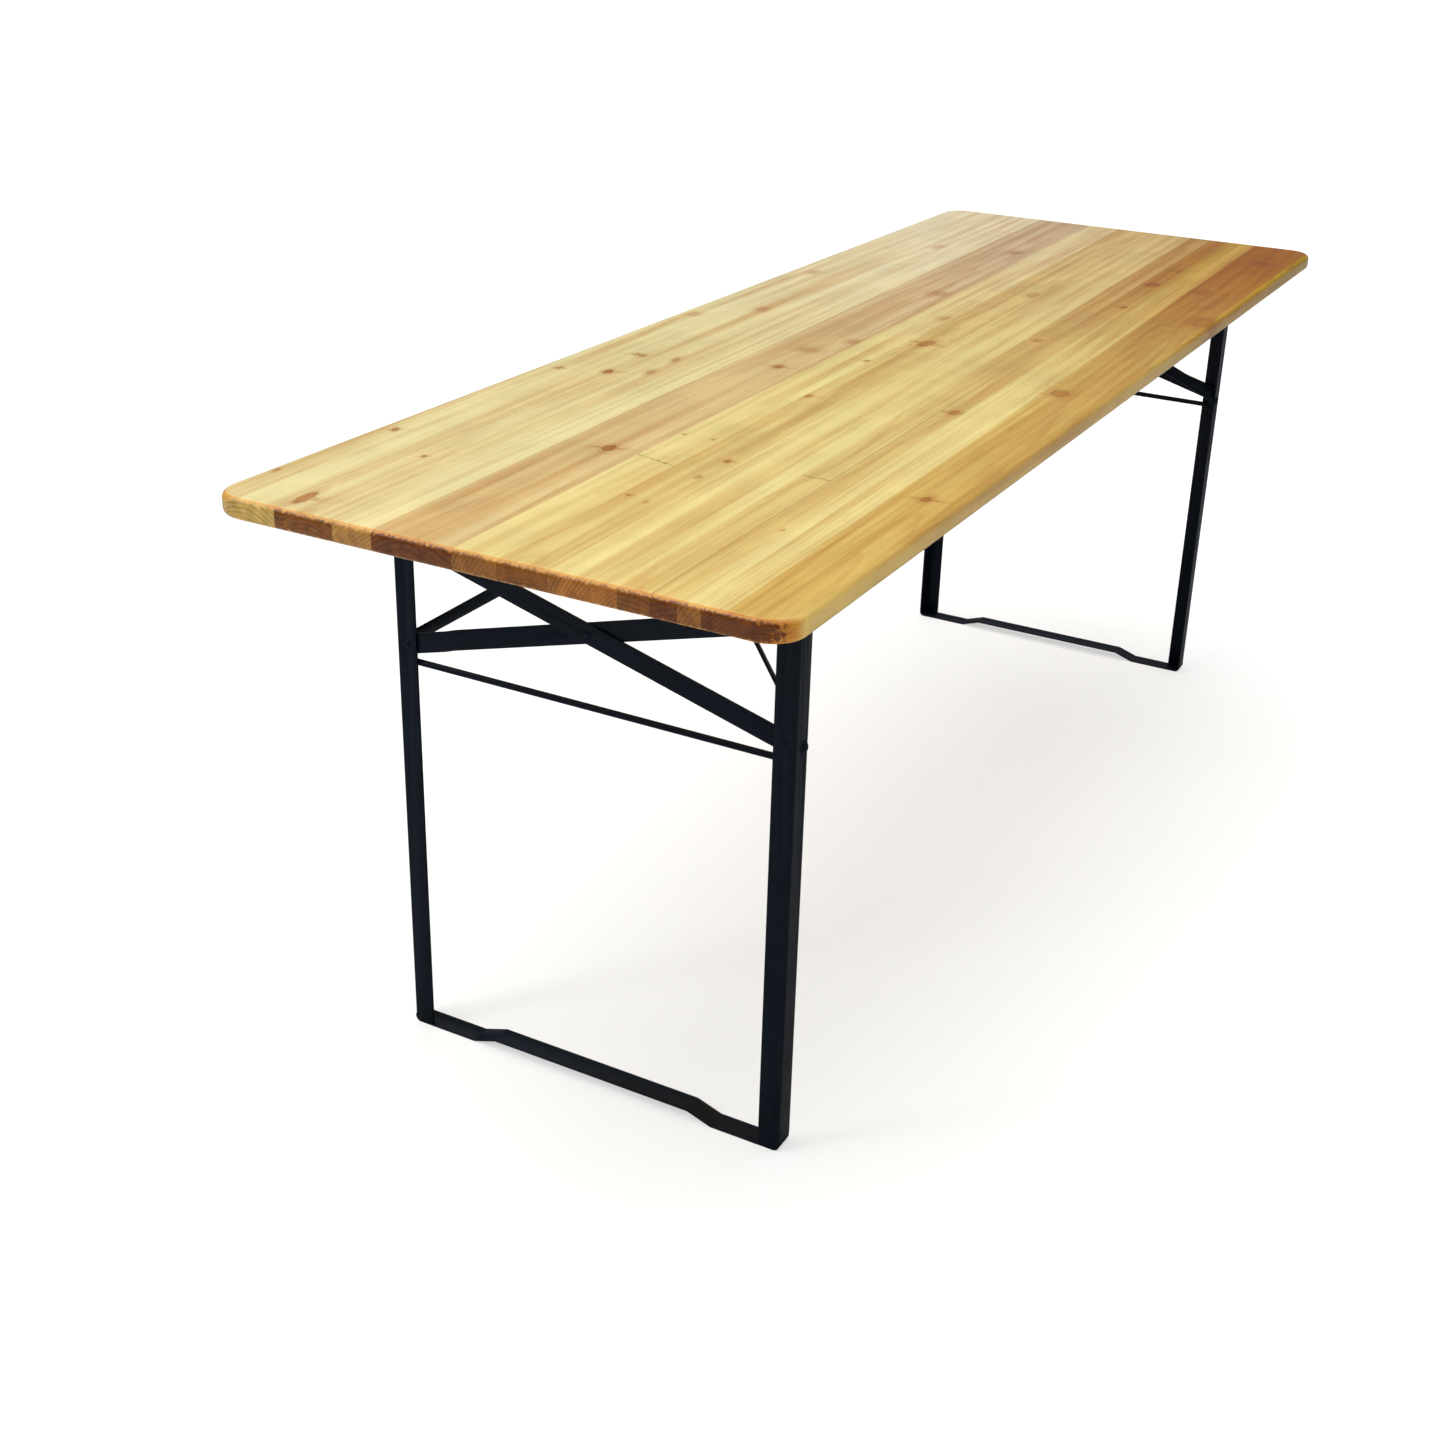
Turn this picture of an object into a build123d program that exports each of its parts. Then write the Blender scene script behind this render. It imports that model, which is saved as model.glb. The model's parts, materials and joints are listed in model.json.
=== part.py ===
from build123d import *
import math
import os

# Folding garden table: an edge-glued pine top on two folding steel leg frames.
# X runs across the top, Y along it and Z up. The origin is on the floor, under the middle of the top.
# "Inboard" is a distance along the table, measured from the nearer end of the top.

# the top
top_length = 2090.0
top_width = 710.0
top_thickness = 26.0
table_height = 770.0
corner_radius = 40.0
edge_radius = 8.0
stave_seams = [-278.0, -200.0, -149.0, -47.0, 8.0, 69.0, 149.0, 186.0, 216.0, 242.0]
seam_drift = 18.0
underside = table_height - top_thickness
half_length = top_length / 2

# the battens that hold the staves flat
batten_length = 600.0
batten_width = 70.0
batten_depth = 20.0
batten_chamfer = 3.0
end_batten_inboard = 95.0
batten_screw_pitch = 108.0
batten_screw_offset = 15.0
batten_screw_count = 6

# the leg frames, bent from steel angle
frame_width = 536.0
frame_inboard = 203.0
angle_flange = 28.0
angle_wall = 3.0
angle_corner = 3.0
half_frame = frame_width / 2
flange_face = half_frame - angle_wall

# the foot bar of each leg frame
foot_bend = 8.0
foot_upturn = 11.0
foot_lift = 11.0
foot_flat_end = 175.0
foot_lift_start = 142.0

# the round rod between the legs
rod_radius = 4.0
rod_height = 517.5
rod_inboard = frame_inboard + angle_wall + rod_radius

# the flat bars that cross in each leg frame
brace_width = 25.0
brace_wall = 3.0
brace_half_span = 252.0
brace_low = 540.0
brace_high = 679.0
brace_middle = (brace_low + brace_high) / 2
brace_inboard = frame_inboard + angle_wall + brace_wall / 2
joggle_start = 200.0
joggle_end = 186.0
rivet_radius = 2.5
rivet_head = 5.5
rivet_rise = 2.2

# the hinges between leg frames and top
hinge_inboard = frame_inboard + angle_flange / 2
hinge_height = 720.0
flange_top = hinge_height - 15.0
pin_radius = 4.0
pin_head = 8.0
pin_rise = 4.0
running_gap = 0.08
side_gap = 0.3
bracket_wall = 3.0
bracket_size = 40.0
bracket_corner = 5.0
ear_radius = 10.0
ear_foot = 36.0

# the struts that hold the leg frames open
pivot_inboard = 223.0
pivot_height = 530.0
strut_step = 197.0
strut_width = 20.0
strut_wall = 4.0
strut_shift = 1.4
strut_turn_low = 12.0
strut_turn_high = 255.0
strut_bend = 6.0
strut_length = strut_step * math.sqrt(2)
strut_tab = flange_face - side_gap - strut_wall / 2
apex_half_gap = 14.0
apex_half_pin = 26.0
apex_chamfer = 0.8
apex_inboard = pivot_inboard + strut_step
apex_height = pivot_height + strut_step

# the locks under the top that catch the struts
lock_half_width = 45.0
lock_start = 400.0
lock_end = 480.0
lock_corner = 8.0
lock_ear_middle = 20.5
lock_ear_start = 406.0
lock_ear_end = 452.0
lock_jaw_end = 446.0
lock_lip_end = 428.0
lock_lip_bottom = 717.8
lock_gap = 0.4
lock_lead = math.radians(20.0)
catch_width = 14.0
catch_wall = 1.0

# screws into the underside of the top
screw_radius = 2.0
screw_head = 4.2
screw_rim = 0.2
screw_rise = 2.2
screw_bite = 14.0
pilot_radius = 2.05
pilot_depth = 14.5
plate_hole = 2.3
lock_screw_edge = 12.0
lock_screw_half = 36.0


def along(end, inboard):
    # Y of a place so far inboard; end is -1 at the near end of the table and 1 at the far end
    return end * (half_length - inboard)


def side_view(end, x):
    # plane across X: its own x is the inboard distance and its own y is the height
    return Plane(origin=(x, end * half_length, 0), x_dir=(0, -end, 0), z_dir=(-end, 0, 0))


def front_view(end, inboard):
    # plane across Y: its own x is X and its own y is the height
    return Plane(origin=(0, along(end, inboard), 0), x_dir=(1, 0, 0), z_dir=(0, -1, 0))


def save(part, name):
    part.label = name
    export_step(part, "parts/" + name + ".step")


def make_rivet(grip, shank, head, rise):
    # a shank along Z from 0 to the grip, with a domed head at each end
    with BuildPart() as rivet:
        with BuildSketch(Plane.XZ):
            with BuildLine():
                TangentArc((0, -rise), (head, 0), tangent=(1, 0))
                Polyline((head, 0), (shank, 0), (shank, grip), (head, grip))
                TangentArc((0, grip + rise), (head, grip), tangent=(1, 0))
                Line((0, grip + rise), (0, -rise))
            make_face()
        revolve(axis=Axis.Z)
    return rivet.part


def make_screw(grip, head_rise, cone_rise):
    # a wood screw pointing up from Z 0: a raised head has a head rise, a sunk one a cone rise
    tip = grip + screw_bite
    shoulder = tip - 2 * screw_radius
    cone_top = screw_rim + cone_rise
    with BuildPart() as screw:
        with BuildSketch(Plane.XZ):
            with BuildLine():
                Polyline(
                    (0, -head_rise), (screw_head, -head_rise), (screw_head, screw_rim if cone_rise else 0),
                    (screw_radius, cone_top if cone_rise else 0), (screw_radius, shoulder), (0, tip),
                    (0, -head_rise),
                )
            make_face()
        revolve(axis=Axis.Z)
    return screw.part


def make_screw_group(name, screw, places, height):
    with BuildPart() as group:
        with Locations(*[(x, y, height) for x, y in places]):
            add(screw)
    save(group.part, name)


def make_top_blank():
    # the whole top as one board, with round corners and round edges
    with BuildPart() as blank:
        with BuildSketch(Plane.XY.offset(underside)):
            RectangleRounded(top_width, top_length, corner_radius)
        extrude(amount=top_thickness)
        fillet(blank.faces().filter_by(Axis.Z).edges(), edge_radius)
    return blank.part


def make_stave(name, blank, low_x, high_x, holes):
    # the panel was trimmed a little askew, so the seams lean over by the drift towards each end
    reach = seam_drift + pilot_radius
    with BuildPart() as stave:
        add(blank)
        with BuildSketch(Plane.XY.offset(underside)):
            with BuildLine():
                Polyline(
                    (low_x + seam_drift, -half_length), (high_x + seam_drift, -half_length),
                    (high_x - seam_drift, half_length), (low_x - seam_drift, half_length),
                    (low_x + seam_drift, -half_length),
                )
            make_face()
        extrude(amount=top_thickness, mode=Mode.INTERSECT)
        for x, y in holes:
            if low_x - reach < x < high_x + reach:
                with Locations((x, y, underside + pilot_depth / 2)):
                    Cylinder(pilot_radius, pilot_depth, mode=Mode.SUBTRACT)
    save(stave.part, name)


def batten_screw_places(y):
    # a zigzag row, so that the screws don't all meet one line of grain
    first = -batten_screw_pitch * (batten_screw_count - 1) / 2
    places = []
    for number in range(batten_screw_count):
        step = batten_screw_offset if number % 2 else -batten_screw_offset
        places.append((first + number * batten_screw_pitch, y + step))
    return places


def make_batten(name, y):
    bottom = underside - batten_depth
    cone = screw_head - screw_radius
    with BuildPart() as batten:
        with BuildSketch(Plane.XY.offset(bottom)):
            with Locations((0, y)):
                Rectangle(batten_length, batten_width)
        extrude(amount=batten_depth)
        chamfer(batten.faces().sort_by(Axis.Z)[0].edges(), batten_chamfer)
        for x, hole_y in batten_screw_places(y):
            with Locations((x, hole_y, bottom + batten_depth / 2)):
                Cylinder(pilot_radius, batten_depth, mode=Mode.SUBTRACT)
            with Locations((x, hole_y, bottom + screw_rim / 2)):
                Cylinder(screw_head + pilot_radius - screw_radius, screw_rim, mode=Mode.SUBTRACT)
            with Locations((x, hole_y, bottom + screw_rim + cone / 2)):
                Cone(screw_head + pilot_radius - screw_radius, pilot_radius, cone, mode=Mode.SUBTRACT)
    save(batten.part, name)


def make_leg(end, side, name):
    # steel angle: one flange faces the end of the table and the other faces outwards
    outer = side * half_frame
    inner = side * (half_frame - angle_flange)
    face = side * flange_face
    y_out = along(end, frame_inboard)
    y_wall = along(end, frame_inboard + angle_wall)
    y_in = along(end, frame_inboard + angle_flange)
    wall_middle = side * (half_frame - angle_wall / 2)
    with BuildPart() as leg:
        with BuildSketch(Plane.XY.offset(foot_upturn)) as section:
            with BuildLine():
                Polyline(
                    (outer, y_out), (outer, y_in), (face, y_in), (face, y_wall), (inner, y_wall),
                    (inner, y_out), (outer, y_out),
                )
            make_face()
            fillet(section.vertices().sort_by_distance((outer, y_out))[0], angle_corner)
        extrude(amount=flange_top - foot_upturn)
        # the end-facing flange goes on down to the foot bar, inside its bend
        with BuildSketch(front_view(end, frame_inboard + angle_wall / 2)) as toe:
            with BuildLine():
                Polyline(
                    (inner, foot_upturn), (inner, angle_wall), (face, angle_wall), (face, foot_upturn),
                    (inner, foot_upturn),
                )
            make_face()
            fillet(toe.vertices().sort_by_distance((face, angle_wall))[0], foot_bend - angle_wall)
        extrude(amount=angle_wall / 2, both=True)
        # the outward flange ends in a round hinge eye
        with BuildSketch(side_view(end, wall_middle)):
            with Locations((hinge_inboard, (flange_top + hinge_height) / 2)):
                Rectangle(angle_flange, hinge_height - flange_top)
            with Locations((hinge_inboard, hinge_height)):
                Circle(angle_flange / 2)
        extrude(amount=angle_wall / 2, both=True)
        with BuildSketch(side_view(end, wall_middle)):
            with Locations((hinge_inboard, hinge_height), (pivot_inboard, pivot_height)):
                Circle(pin_radius)
        extrude(amount=angle_wall, both=True, mode=Mode.SUBTRACT)
        with BuildSketch(front_view(end, frame_inboard)):
            with Locations((side * brace_half_span, brace_low), (side * brace_half_span, brace_high)):
                Circle(rivet_radius)
        extrude(amount=2 * angle_wall, both=True, mode=Mode.SUBTRACT)
    save(leg.part, name)


def make_foot_bar(end, name):
    # flat bar between the legs on the floor; its middle is raised, so that it stands on two feet
    low = angle_wall / 2
    high = foot_lift + low
    edge = half_frame - low
    with BuildPart() as bar:
        with BuildSketch(front_view(end, frame_inboard + angle_flange / 2)):
            with BuildLine():
                FilletPolyline(
                    (-edge, foot_upturn), (-edge, low), (-foot_flat_end, low), (-foot_lift_start, high),
                    (foot_lift_start, high), (foot_flat_end, low), (edge, low), (edge, foot_upturn),
                    radius=foot_bend - low,
                )
            trace(line_width=angle_wall)
        extrude(amount=angle_flange / 2, both=True)
    save(bar.part, name)


def make_cross_rod(end, name):
    with BuildPart() as rod:
        with BuildSketch(side_view(end, 0)):
            with Locations((rod_inboard, rod_height)):
                Circle(rod_radius)
        extrude(amount=flange_face, both=True)
    save(rod.part, name)


def make_brace(end, low_side, joggle, name):
    # flat bar from low on one leg to high on the other; one bar of a pair steps over its twin
    rise = brace_high - brace_low
    span = math.hypot(2 * brace_half_span, rise)
    tilt = -low_side * math.degrees(math.atan2(rise, 2 * brace_half_span))
    flat_y = along(end, brace_inboard)
    stepped_y = along(end, brace_inboard + joggle)
    with BuildPart() as brace:
        with BuildSketch(Plane.XY.offset(brace_middle)):
            with BuildLine():
                if joggle:
                    Polyline(
                        (-half_frame, flat_y), (-joggle_start, flat_y), (-joggle_end, stepped_y),
                        (joggle_end, stepped_y), (joggle_start, flat_y), (half_frame, flat_y),
                    )
                else:
                    Line((-half_frame, flat_y), (half_frame, flat_y))
            trace(line_width=brace_wall)
        extrude(amount=rise, both=True)
        with BuildSketch(front_view(end, brace_inboard)):
            with Locations((0, brace_middle)):
                SlotCenterToCenter(span, brace_width, rotation=tilt)
        extrude(amount=4 * brace_wall, both=True, mode=Mode.INTERSECT)
        low_hole = (low_side * brace_half_span, brace_low)
        high_hole = (-low_side * brace_half_span, brace_high)
        with BuildSketch(front_view(end, brace_inboard)):
            with Locations(low_hole, (0, brace_middle), high_hole):
                Circle(rivet_radius)
        extrude(amount=4 * brace_wall, both=True, mode=Mode.SUBTRACT)
    save(brace.part, name)


def make_brace_rivets(end, rivet, name):
    # one rivet in each leg at both heights, and one where the bars cross
    inward = (0, -end, 0)
    with BuildPart() as rivets:
        for x in (-brace_half_span, brace_half_span):
            for height in (brace_low, brace_high):
                with Locations(Plane((x, along(end, frame_inboard), height), z_dir=inward)):
                    add(rivet)
        with Locations(Plane((0, along(end, frame_inboard + angle_wall), brace_middle), z_dir=inward)):
            add(rivet)
    save(rivets.part, name)


def make_pin_pair(end, inboard, height, grip, pin, name):
    # one headed pin in each leg, from inside its mate to the outer face of the leg
    with BuildPart() as pins:
        for side in (-1, 1):
            start = (side * (half_frame - grip), along(end, inboard), height)
            with Locations(Plane(start, z_dir=(side, 0, 0))):
                add(pin)
    save(pins.part, name)


def make_strut_arm(end, side, name):
    # flat bar on edge: a tab beside the leg, a slanted run to the middle and a tab for the apex pin
    slope = math.sqrt(0.5)
    shift = slope * strut_shift
    tilted = Plane(
        origin=(0, along(end, pivot_inboard - shift), pivot_height + shift),
        x_dir=(1, 0, 0),
        z_dir=(0, -slope, -end * slope),
    )
    tab = side * strut_tab
    apex = side * apex_half_gap
    with BuildPart() as arm:
        with BuildSketch(tilted):
            with BuildLine():
                FilletPolyline(
                    (tab, -strut_width), (tab, strut_turn_low), (apex, strut_turn_high),
                    (apex, strut_length + strut_width), radius=strut_bend,
                )
            trace(line_width=strut_wall)
        extrude(amount=strut_width, both=True)
        with BuildSketch(side_view(end, tab / 2)):
            with Locations((pivot_inboard + strut_step / 2 - shift, pivot_height + strut_step / 2 + shift)):
                SlotCenterToCenter(strut_length, strut_width, rotation=45)
        extrude(amount=half_frame, both=True, mode=Mode.INTERSECT)
        with BuildSketch(side_view(end, tab)):
            with Locations((pivot_inboard, pivot_height)):
                Circle(pin_radius + running_gap)
        extrude(amount=2 * strut_wall, both=True, mode=Mode.SUBTRACT)
        with BuildSketch(side_view(end, apex)):
            with Locations((apex_inboard, apex_height)):
                Circle(pin_radius)
        extrude(amount=2 * strut_wall, both=True, mode=Mode.SUBTRACT)
    save(arm.part, name)


def make_apex_pin(end, name):
    with BuildPart() as pin:
        with BuildSketch(side_view(end, 0)):
            with Locations((apex_inboard, apex_height)):
                Circle(pin_radius)
        extrude(amount=apex_half_pin, both=True)
        chamfer(pin.edges().filter_by(GeomType.CIRCLE), apex_chamfer)
    save(pin.part, name)


def bracket_screw_places(end, side):
    beside_ear = side * (flange_face - 13)
    far_side = side * (flange_face - 33)
    return [
        (beside_ear, along(end, hinge_inboard - 13)), (beside_ear, along(end, hinge_inboard + 13)),
        (far_side, along(end, hinge_inboard)),
    ]


def make_hinge_bracket(end, side, name):
    # a plate screwed under the top, with an ear turned down inside the leg
    ear_middle = side * (flange_face - side_gap - bracket_wall / 2)
    plate_middle = side * (flange_face - side_gap - bracket_size / 2)
    with BuildPart() as bracket:
        with BuildSketch(Plane.XY.offset(underside - bracket_wall)) as plate:
            with Locations((plate_middle, along(end, hinge_inboard))):
                Rectangle(bracket_size, bracket_size)
            fillet(plate.vertices().sort_by(Axis.X, reverse=side < 0)[:2], bracket_corner)
        extrude(amount=bracket_wall)
        with BuildSketch(side_view(end, ear_middle)):
            with BuildLine():
                Polyline(
                    (hinge_inboard - ear_foot / 2, underside), (hinge_inboard + ear_foot / 2, underside),
                    (hinge_inboard + ear_radius, hinge_height), (hinge_inboard - ear_radius, hinge_height),
                    (hinge_inboard - ear_foot / 2, underside),
                )
            make_face()
            with Locations((hinge_inboard, hinge_height)):
                Circle(ear_radius)
        extrude(amount=bracket_wall / 2, both=True)
        with BuildSketch(side_view(end, ear_middle)):
            with Locations((hinge_inboard, hinge_height)):
                Circle(pin_radius + running_gap)
        extrude(amount=bracket_wall, both=True, mode=Mode.SUBTRACT)
        for x, y in bracket_screw_places(end, side):
            with Locations((x, y, underside)):
                Cylinder(plate_hole, 4 * bracket_wall, mode=Mode.SUBTRACT)
    save(bracket.part, name)


def catch_screw_place(end):
    return 0, along(end, lock_end - lock_screw_edge)


def lock_screw_places(end):
    places = []
    for x in (-lock_screw_half, lock_screw_half):
        for inboard in (lock_start + lock_screw_edge, lock_end - lock_screw_edge):
            places.append((x, along(end, inboard)))
    return places


def make_lock_plate(end, name):
    # a plate screwed under the top, with two hooked ears that the apex pin slides out of
    slot_radius = pin_radius + lock_gap
    slot_roof = apex_height + slot_radius
    slot_low = (apex_inboard - slot_radius * math.sin(lock_lead), apex_height - slot_radius * math.cos(lock_lead))
    slot_drop = slot_low[1] - (lock_end - slot_low[0]) * math.tan(lock_lead)
    with BuildPart() as lock:
        with BuildSketch(Plane.XY.offset(underside - bracket_wall)):
            with Locations((0, along(end, (lock_start + lock_end) / 2))):
                RectangleRounded(2 * lock_half_width, lock_end - lock_start, lock_corner)
        extrude(amount=bracket_wall)
        for side in (-1, 1):
            with BuildSketch(side_view(end, side * lock_ear_middle)):
                with BuildLine():
                    Polyline(
                        (lock_ear_start, underside), (lock_ear_end, underside), (lock_jaw_end, slot_roof - 1),
                        (lock_lip_end, lock_lip_bottom), (lock_ear_start + 4, lock_lip_bottom),
                        (lock_ear_start, lock_lip_bottom + 4), (lock_ear_start, underside),
                    )
                make_face()
            extrude(amount=bracket_wall / 2, both=True)
        with BuildSketch(side_view(end, 0)):
            with BuildLine():
                Polyline(
                    (apex_inboard, apex_height), (apex_inboard, slot_roof), (lock_end, slot_roof),
                    (lock_end, slot_drop), slot_low, (apex_inboard, apex_height),
                )
            make_face()
            with Locations((apex_inboard, apex_height)):
                Circle(slot_radius)
        extrude(amount=lock_half_width, both=True, mode=Mode.SUBTRACT)
        for x, y in lock_screw_places(end) + [catch_screw_place(end)]:
            with Locations((x, y, underside)):
                Cylinder(plate_hole, 4 * bracket_wall, mode=Mode.SUBTRACT)
    save(lock.part, name)


def make_spring_catch(end, name):
    # a leaf spring whose nose stands behind the apex pin and keeps it in the hooks
    height = underside - bracket_wall - catch_wall / 2
    nose = apex_inboard + pin_radius + 2 * catch_wall
    catch_x, catch_y = catch_screw_place(end)
    with BuildPart() as catch:
        with BuildSketch(side_view(end, 0)):
            with BuildLine():
                FilletPolyline(
                    (lock_end - 4, height), (lock_end - 32, height), (nose + 1, apex_height + 5),
                    (nose, apex_height - 3), (nose + 6, lock_lip_bottom + 1), radius=1.5,
                )
            trace(line_width=catch_wall)
        extrude(amount=catch_width / 2, both=True)
        with Locations((catch_x, catch_y, height)):
            Cylinder(plate_hole, 4 * catch_wall, mode=Mode.SUBTRACT)
    save(catch.part, name)


os.makedirs("parts", exist_ok=True)

ends = {"near": -1, "far": 1}
sides = {"left": -1, "right": 1}
batten_lines = {"near_batten": along(-1, end_batten_inboard), "middle_batten": 0.0}
batten_lines["far_batten"] = along(1, end_batten_inboard)

batten_screw = make_screw(batten_depth, 0, screw_head - screw_radius)
plate_screw = make_screw(bracket_wall, screw_rise, 0)
catch_screw = make_screw(bracket_wall + catch_wall, screw_rise, 0)
brace_rivet = make_rivet(angle_wall + brace_wall, rivet_radius, rivet_head, rivet_rise)
hinge_grip = angle_wall + bracket_wall + 2 * side_gap
hinge_pin = make_rivet(hinge_grip, pin_radius, pin_head, pin_rise)
strut_grip = angle_wall + strut_wall + 2 * side_gap
strut_pin = make_rivet(strut_grip, pin_radius, pin_head, pin_rise)

holes = []
for y in batten_lines.values():
    holes += batten_screw_places(y)
for end in ends.values():
    holes += lock_screw_places(end) + [catch_screw_place(end)]
    for side in sides.values():
        holes += bracket_screw_places(end, side)

blank = make_top_blank()
borders = [-top_width] + stave_seams + [top_width]
for number in range(1, len(borders)):
    make_stave(f"top_stave_{number}", blank, borders[number - 1], borders[number], holes)

for name, y in batten_lines.items():
    make_batten(name, y)
    make_screw_group(name + "_screws", batten_screw, batten_screw_places(y), underside - batten_depth)

plate_bottom = underside - bracket_wall
for end_name, end in ends.items():
    for side_name, side in sides.items():
        corner = f"{end_name}_{side_name}"
        make_leg(end, side, corner + "_leg")
        make_strut_arm(end, side, corner + "_strut_arm")
        make_hinge_bracket(end, side, corner + "_hinge_bracket")
        make_screw_group(corner + "_bracket_screws", plate_screw, bracket_screw_places(end, side), plate_bottom)
    make_foot_bar(end, end_name + "_foot_bar")
    make_cross_rod(end, end_name + "_cross_rod")
    make_brace(end, 1, 0.0, end_name + "_brace_flat")
    make_brace(end, -1, brace_wall, end_name + "_brace_stepped")
    make_brace_rivets(end, brace_rivet, end_name + "_brace_rivets")
    make_pin_pair(end, hinge_inboard, hinge_height, hinge_grip, hinge_pin, end_name + "_hinge_pins")
    make_pin_pair(end, pivot_inboard, pivot_height, strut_grip, strut_pin, end_name + "_strut_pins")
    make_apex_pin(end, end_name + "_apex_pin")
    make_lock_plate(end, end_name + "_lock_plate")
    make_screw_group(end_name + "_lock_screws", plate_screw, lock_screw_places(end), plate_bottom)
    make_spring_catch(end, end_name + "_spring_catch")
    catch_bottom = plate_bottom - catch_wall
    make_screw_group(end_name + "_catch_screw", catch_screw, [catch_screw_place(end)], catch_bottom)
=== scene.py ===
import json
import math
import bmesh
import bpy
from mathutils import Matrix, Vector

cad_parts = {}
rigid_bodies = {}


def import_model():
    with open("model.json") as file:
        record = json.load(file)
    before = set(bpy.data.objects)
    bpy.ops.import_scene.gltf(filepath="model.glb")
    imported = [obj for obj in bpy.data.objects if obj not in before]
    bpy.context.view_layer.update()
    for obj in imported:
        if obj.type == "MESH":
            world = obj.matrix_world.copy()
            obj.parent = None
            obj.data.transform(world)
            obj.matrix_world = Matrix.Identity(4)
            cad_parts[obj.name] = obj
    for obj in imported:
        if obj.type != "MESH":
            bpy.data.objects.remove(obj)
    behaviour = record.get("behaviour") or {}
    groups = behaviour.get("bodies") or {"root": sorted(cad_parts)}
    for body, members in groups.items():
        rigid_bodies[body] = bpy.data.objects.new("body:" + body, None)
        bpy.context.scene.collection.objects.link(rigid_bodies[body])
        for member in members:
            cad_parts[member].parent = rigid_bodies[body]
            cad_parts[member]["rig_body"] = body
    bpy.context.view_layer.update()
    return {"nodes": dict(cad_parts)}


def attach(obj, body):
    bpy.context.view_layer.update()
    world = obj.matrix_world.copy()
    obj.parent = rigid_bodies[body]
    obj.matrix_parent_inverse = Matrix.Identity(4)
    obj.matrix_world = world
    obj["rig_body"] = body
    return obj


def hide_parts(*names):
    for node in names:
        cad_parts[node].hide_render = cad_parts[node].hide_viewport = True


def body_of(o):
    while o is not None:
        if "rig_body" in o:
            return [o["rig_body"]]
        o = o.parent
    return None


# Folding beer-garden table: an edge-glued pine top on two folding steel leg frames.
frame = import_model()
nodes = frame["nodes"]
print("frame loaded:", len(nodes), "parts")


cameraLook = {
    "place": (1.0589, -2.4793, 1.4352),
    "turn": (65.939, -1.626, 28.4),
    "lens": 46.87,
    "shift": (-0.014, -0.034),
}

cameraData = bpy.data.cameras.new("tableCamera")
cameraData.sensor_width = 36.0
cameraData.lens = cameraLook["lens"]
cameraData.shift_x, cameraData.shift_y = cameraLook["shift"]
cameraData.clip_end = 200.0
camera = bpy.data.objects.new("tableCamera", cameraData)
camera.location = cameraLook["place"]
camera.rotation_euler = [math.radians(a) for a in cameraLook["turn"]]
bpy.context.collection.objects.link(camera)
bpy.context.scene.camera = camera
print("camera placed")


def linearColour(hexColour):
    parts = [int(hexColour[i:i + 2], 16) / 255 for i in (1, 3, 5)]
    return tuple(c / 12.92 if c <= 0.04045 else ((c + 0.055) / 1.055) ** 2.4 for c in parts) + (1.0,)


def addNode(tree, kind, inputs=None, stops=None, **settings):
    node = tree.nodes.new("ShaderNode" + kind)
    for key, value in settings.items():
        setattr(node, key, value)
    for key, value in (inputs or {}).items():
        if isinstance(value, bpy.types.NodeSocket):
            tree.links.new(value, node.inputs[key])
        else:
            node.inputs[key].default_value = value
    if stops:
        ramp = node.color_ramp.elements
        while len(ramp) < len(stops):
            ramp.new(0.5)
        for element, (position, level) in zip(ramp, stops):
            element.position = position
            element.color = (level, level, level, 1.0)
    return node


def newMaterial(name):
    material = bpy.data.materials.new(name)
    material.use_nodes = True
    material.node_tree.nodes.clear()
    return material, material.node_tree


stageLook = {
    "floorSize": 60.0,
    "floorColour": "#f4f4f3",
    "floorInGloss": "#75787b",
    "sky": "#ffffff",
    "skyStrength": 1.0,
    "horizonStrength": 0.11,
    # a wide soft sun stands for the studio ceiling: direction it comes from, width in degrees, strength
    "ceiling": ((-0.15, 0.1, 1.0), 60.0, 2.35),
    # name: place, aim, width, length, watts
    "lamps": {
        "frontSoftbox": ((-2.05, -3.1, 1.8), (-0.2, -1.05, 0.77), 0.7, 0.9, 34.0),
        "rightSoftbox": ((3.2, -0.8, 1.5), (0.3, 0.0, 0.7), 1.6, 1.6, 10.0),
    },
    # a soft window glow for the shine on the rolled edges: direction, cosine at its rim and core, strength
    "window": ((-0.63, -0.33, 0.70), 0.86, 0.97, 1.3),
    "floorGlow": 0.55,      # how far the floor burns out to white, as on a lit studio sweep
}

floorMesh = bpy.data.meshes.new("paleFloor")
floorShape = bmesh.new()
bmesh.ops.create_grid(floorShape, x_segments=1, y_segments=1, size=stageLook["floorSize"] / 2)
floorShape.to_mesh(floorMesh)
floorShape.free()
floor = bpy.data.objects.new("paleFloor", floorMesh)
bpy.context.collection.objects.link(floor)
floorMaterial, floorTree = newMaterial("studioFloor")
floorRay = addNode(floorTree, "LightPath")  # gloss on the table sees a calmer floor than the eye does
floorColour = addNode(floorTree, "Mix", {
    "Factor": floorRay.outputs["Is Glossy Ray"],
    6: linearColour(stageLook["floorColour"]), 7: linearColour(stageLook["floorInGloss"])},
        data_type="RGBA")
floorPaint = addNode(floorTree, "BsdfDiffuse", {"Color": floorColour.outputs[2]})
floorLit = addNode(floorTree, "Emission", {"Color": (1.0, 1.0, 1.0, 1.0), "Strength": 1.0})
floorGlow = addNode(floorTree, "Math", {
    0: floorRay.outputs["Is Camera Ray"], 1: stageLook["floorGlow"]}, operation="MULTIPLY")
floorPaint = addNode(floorTree, "MixShader", {
    0: floorGlow.outputs[0], 1: floorPaint.outputs[0], 2: floorLit.outputs[0]})
floorSeeThrough = addNode(floorTree, "BsdfTransparent")
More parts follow.
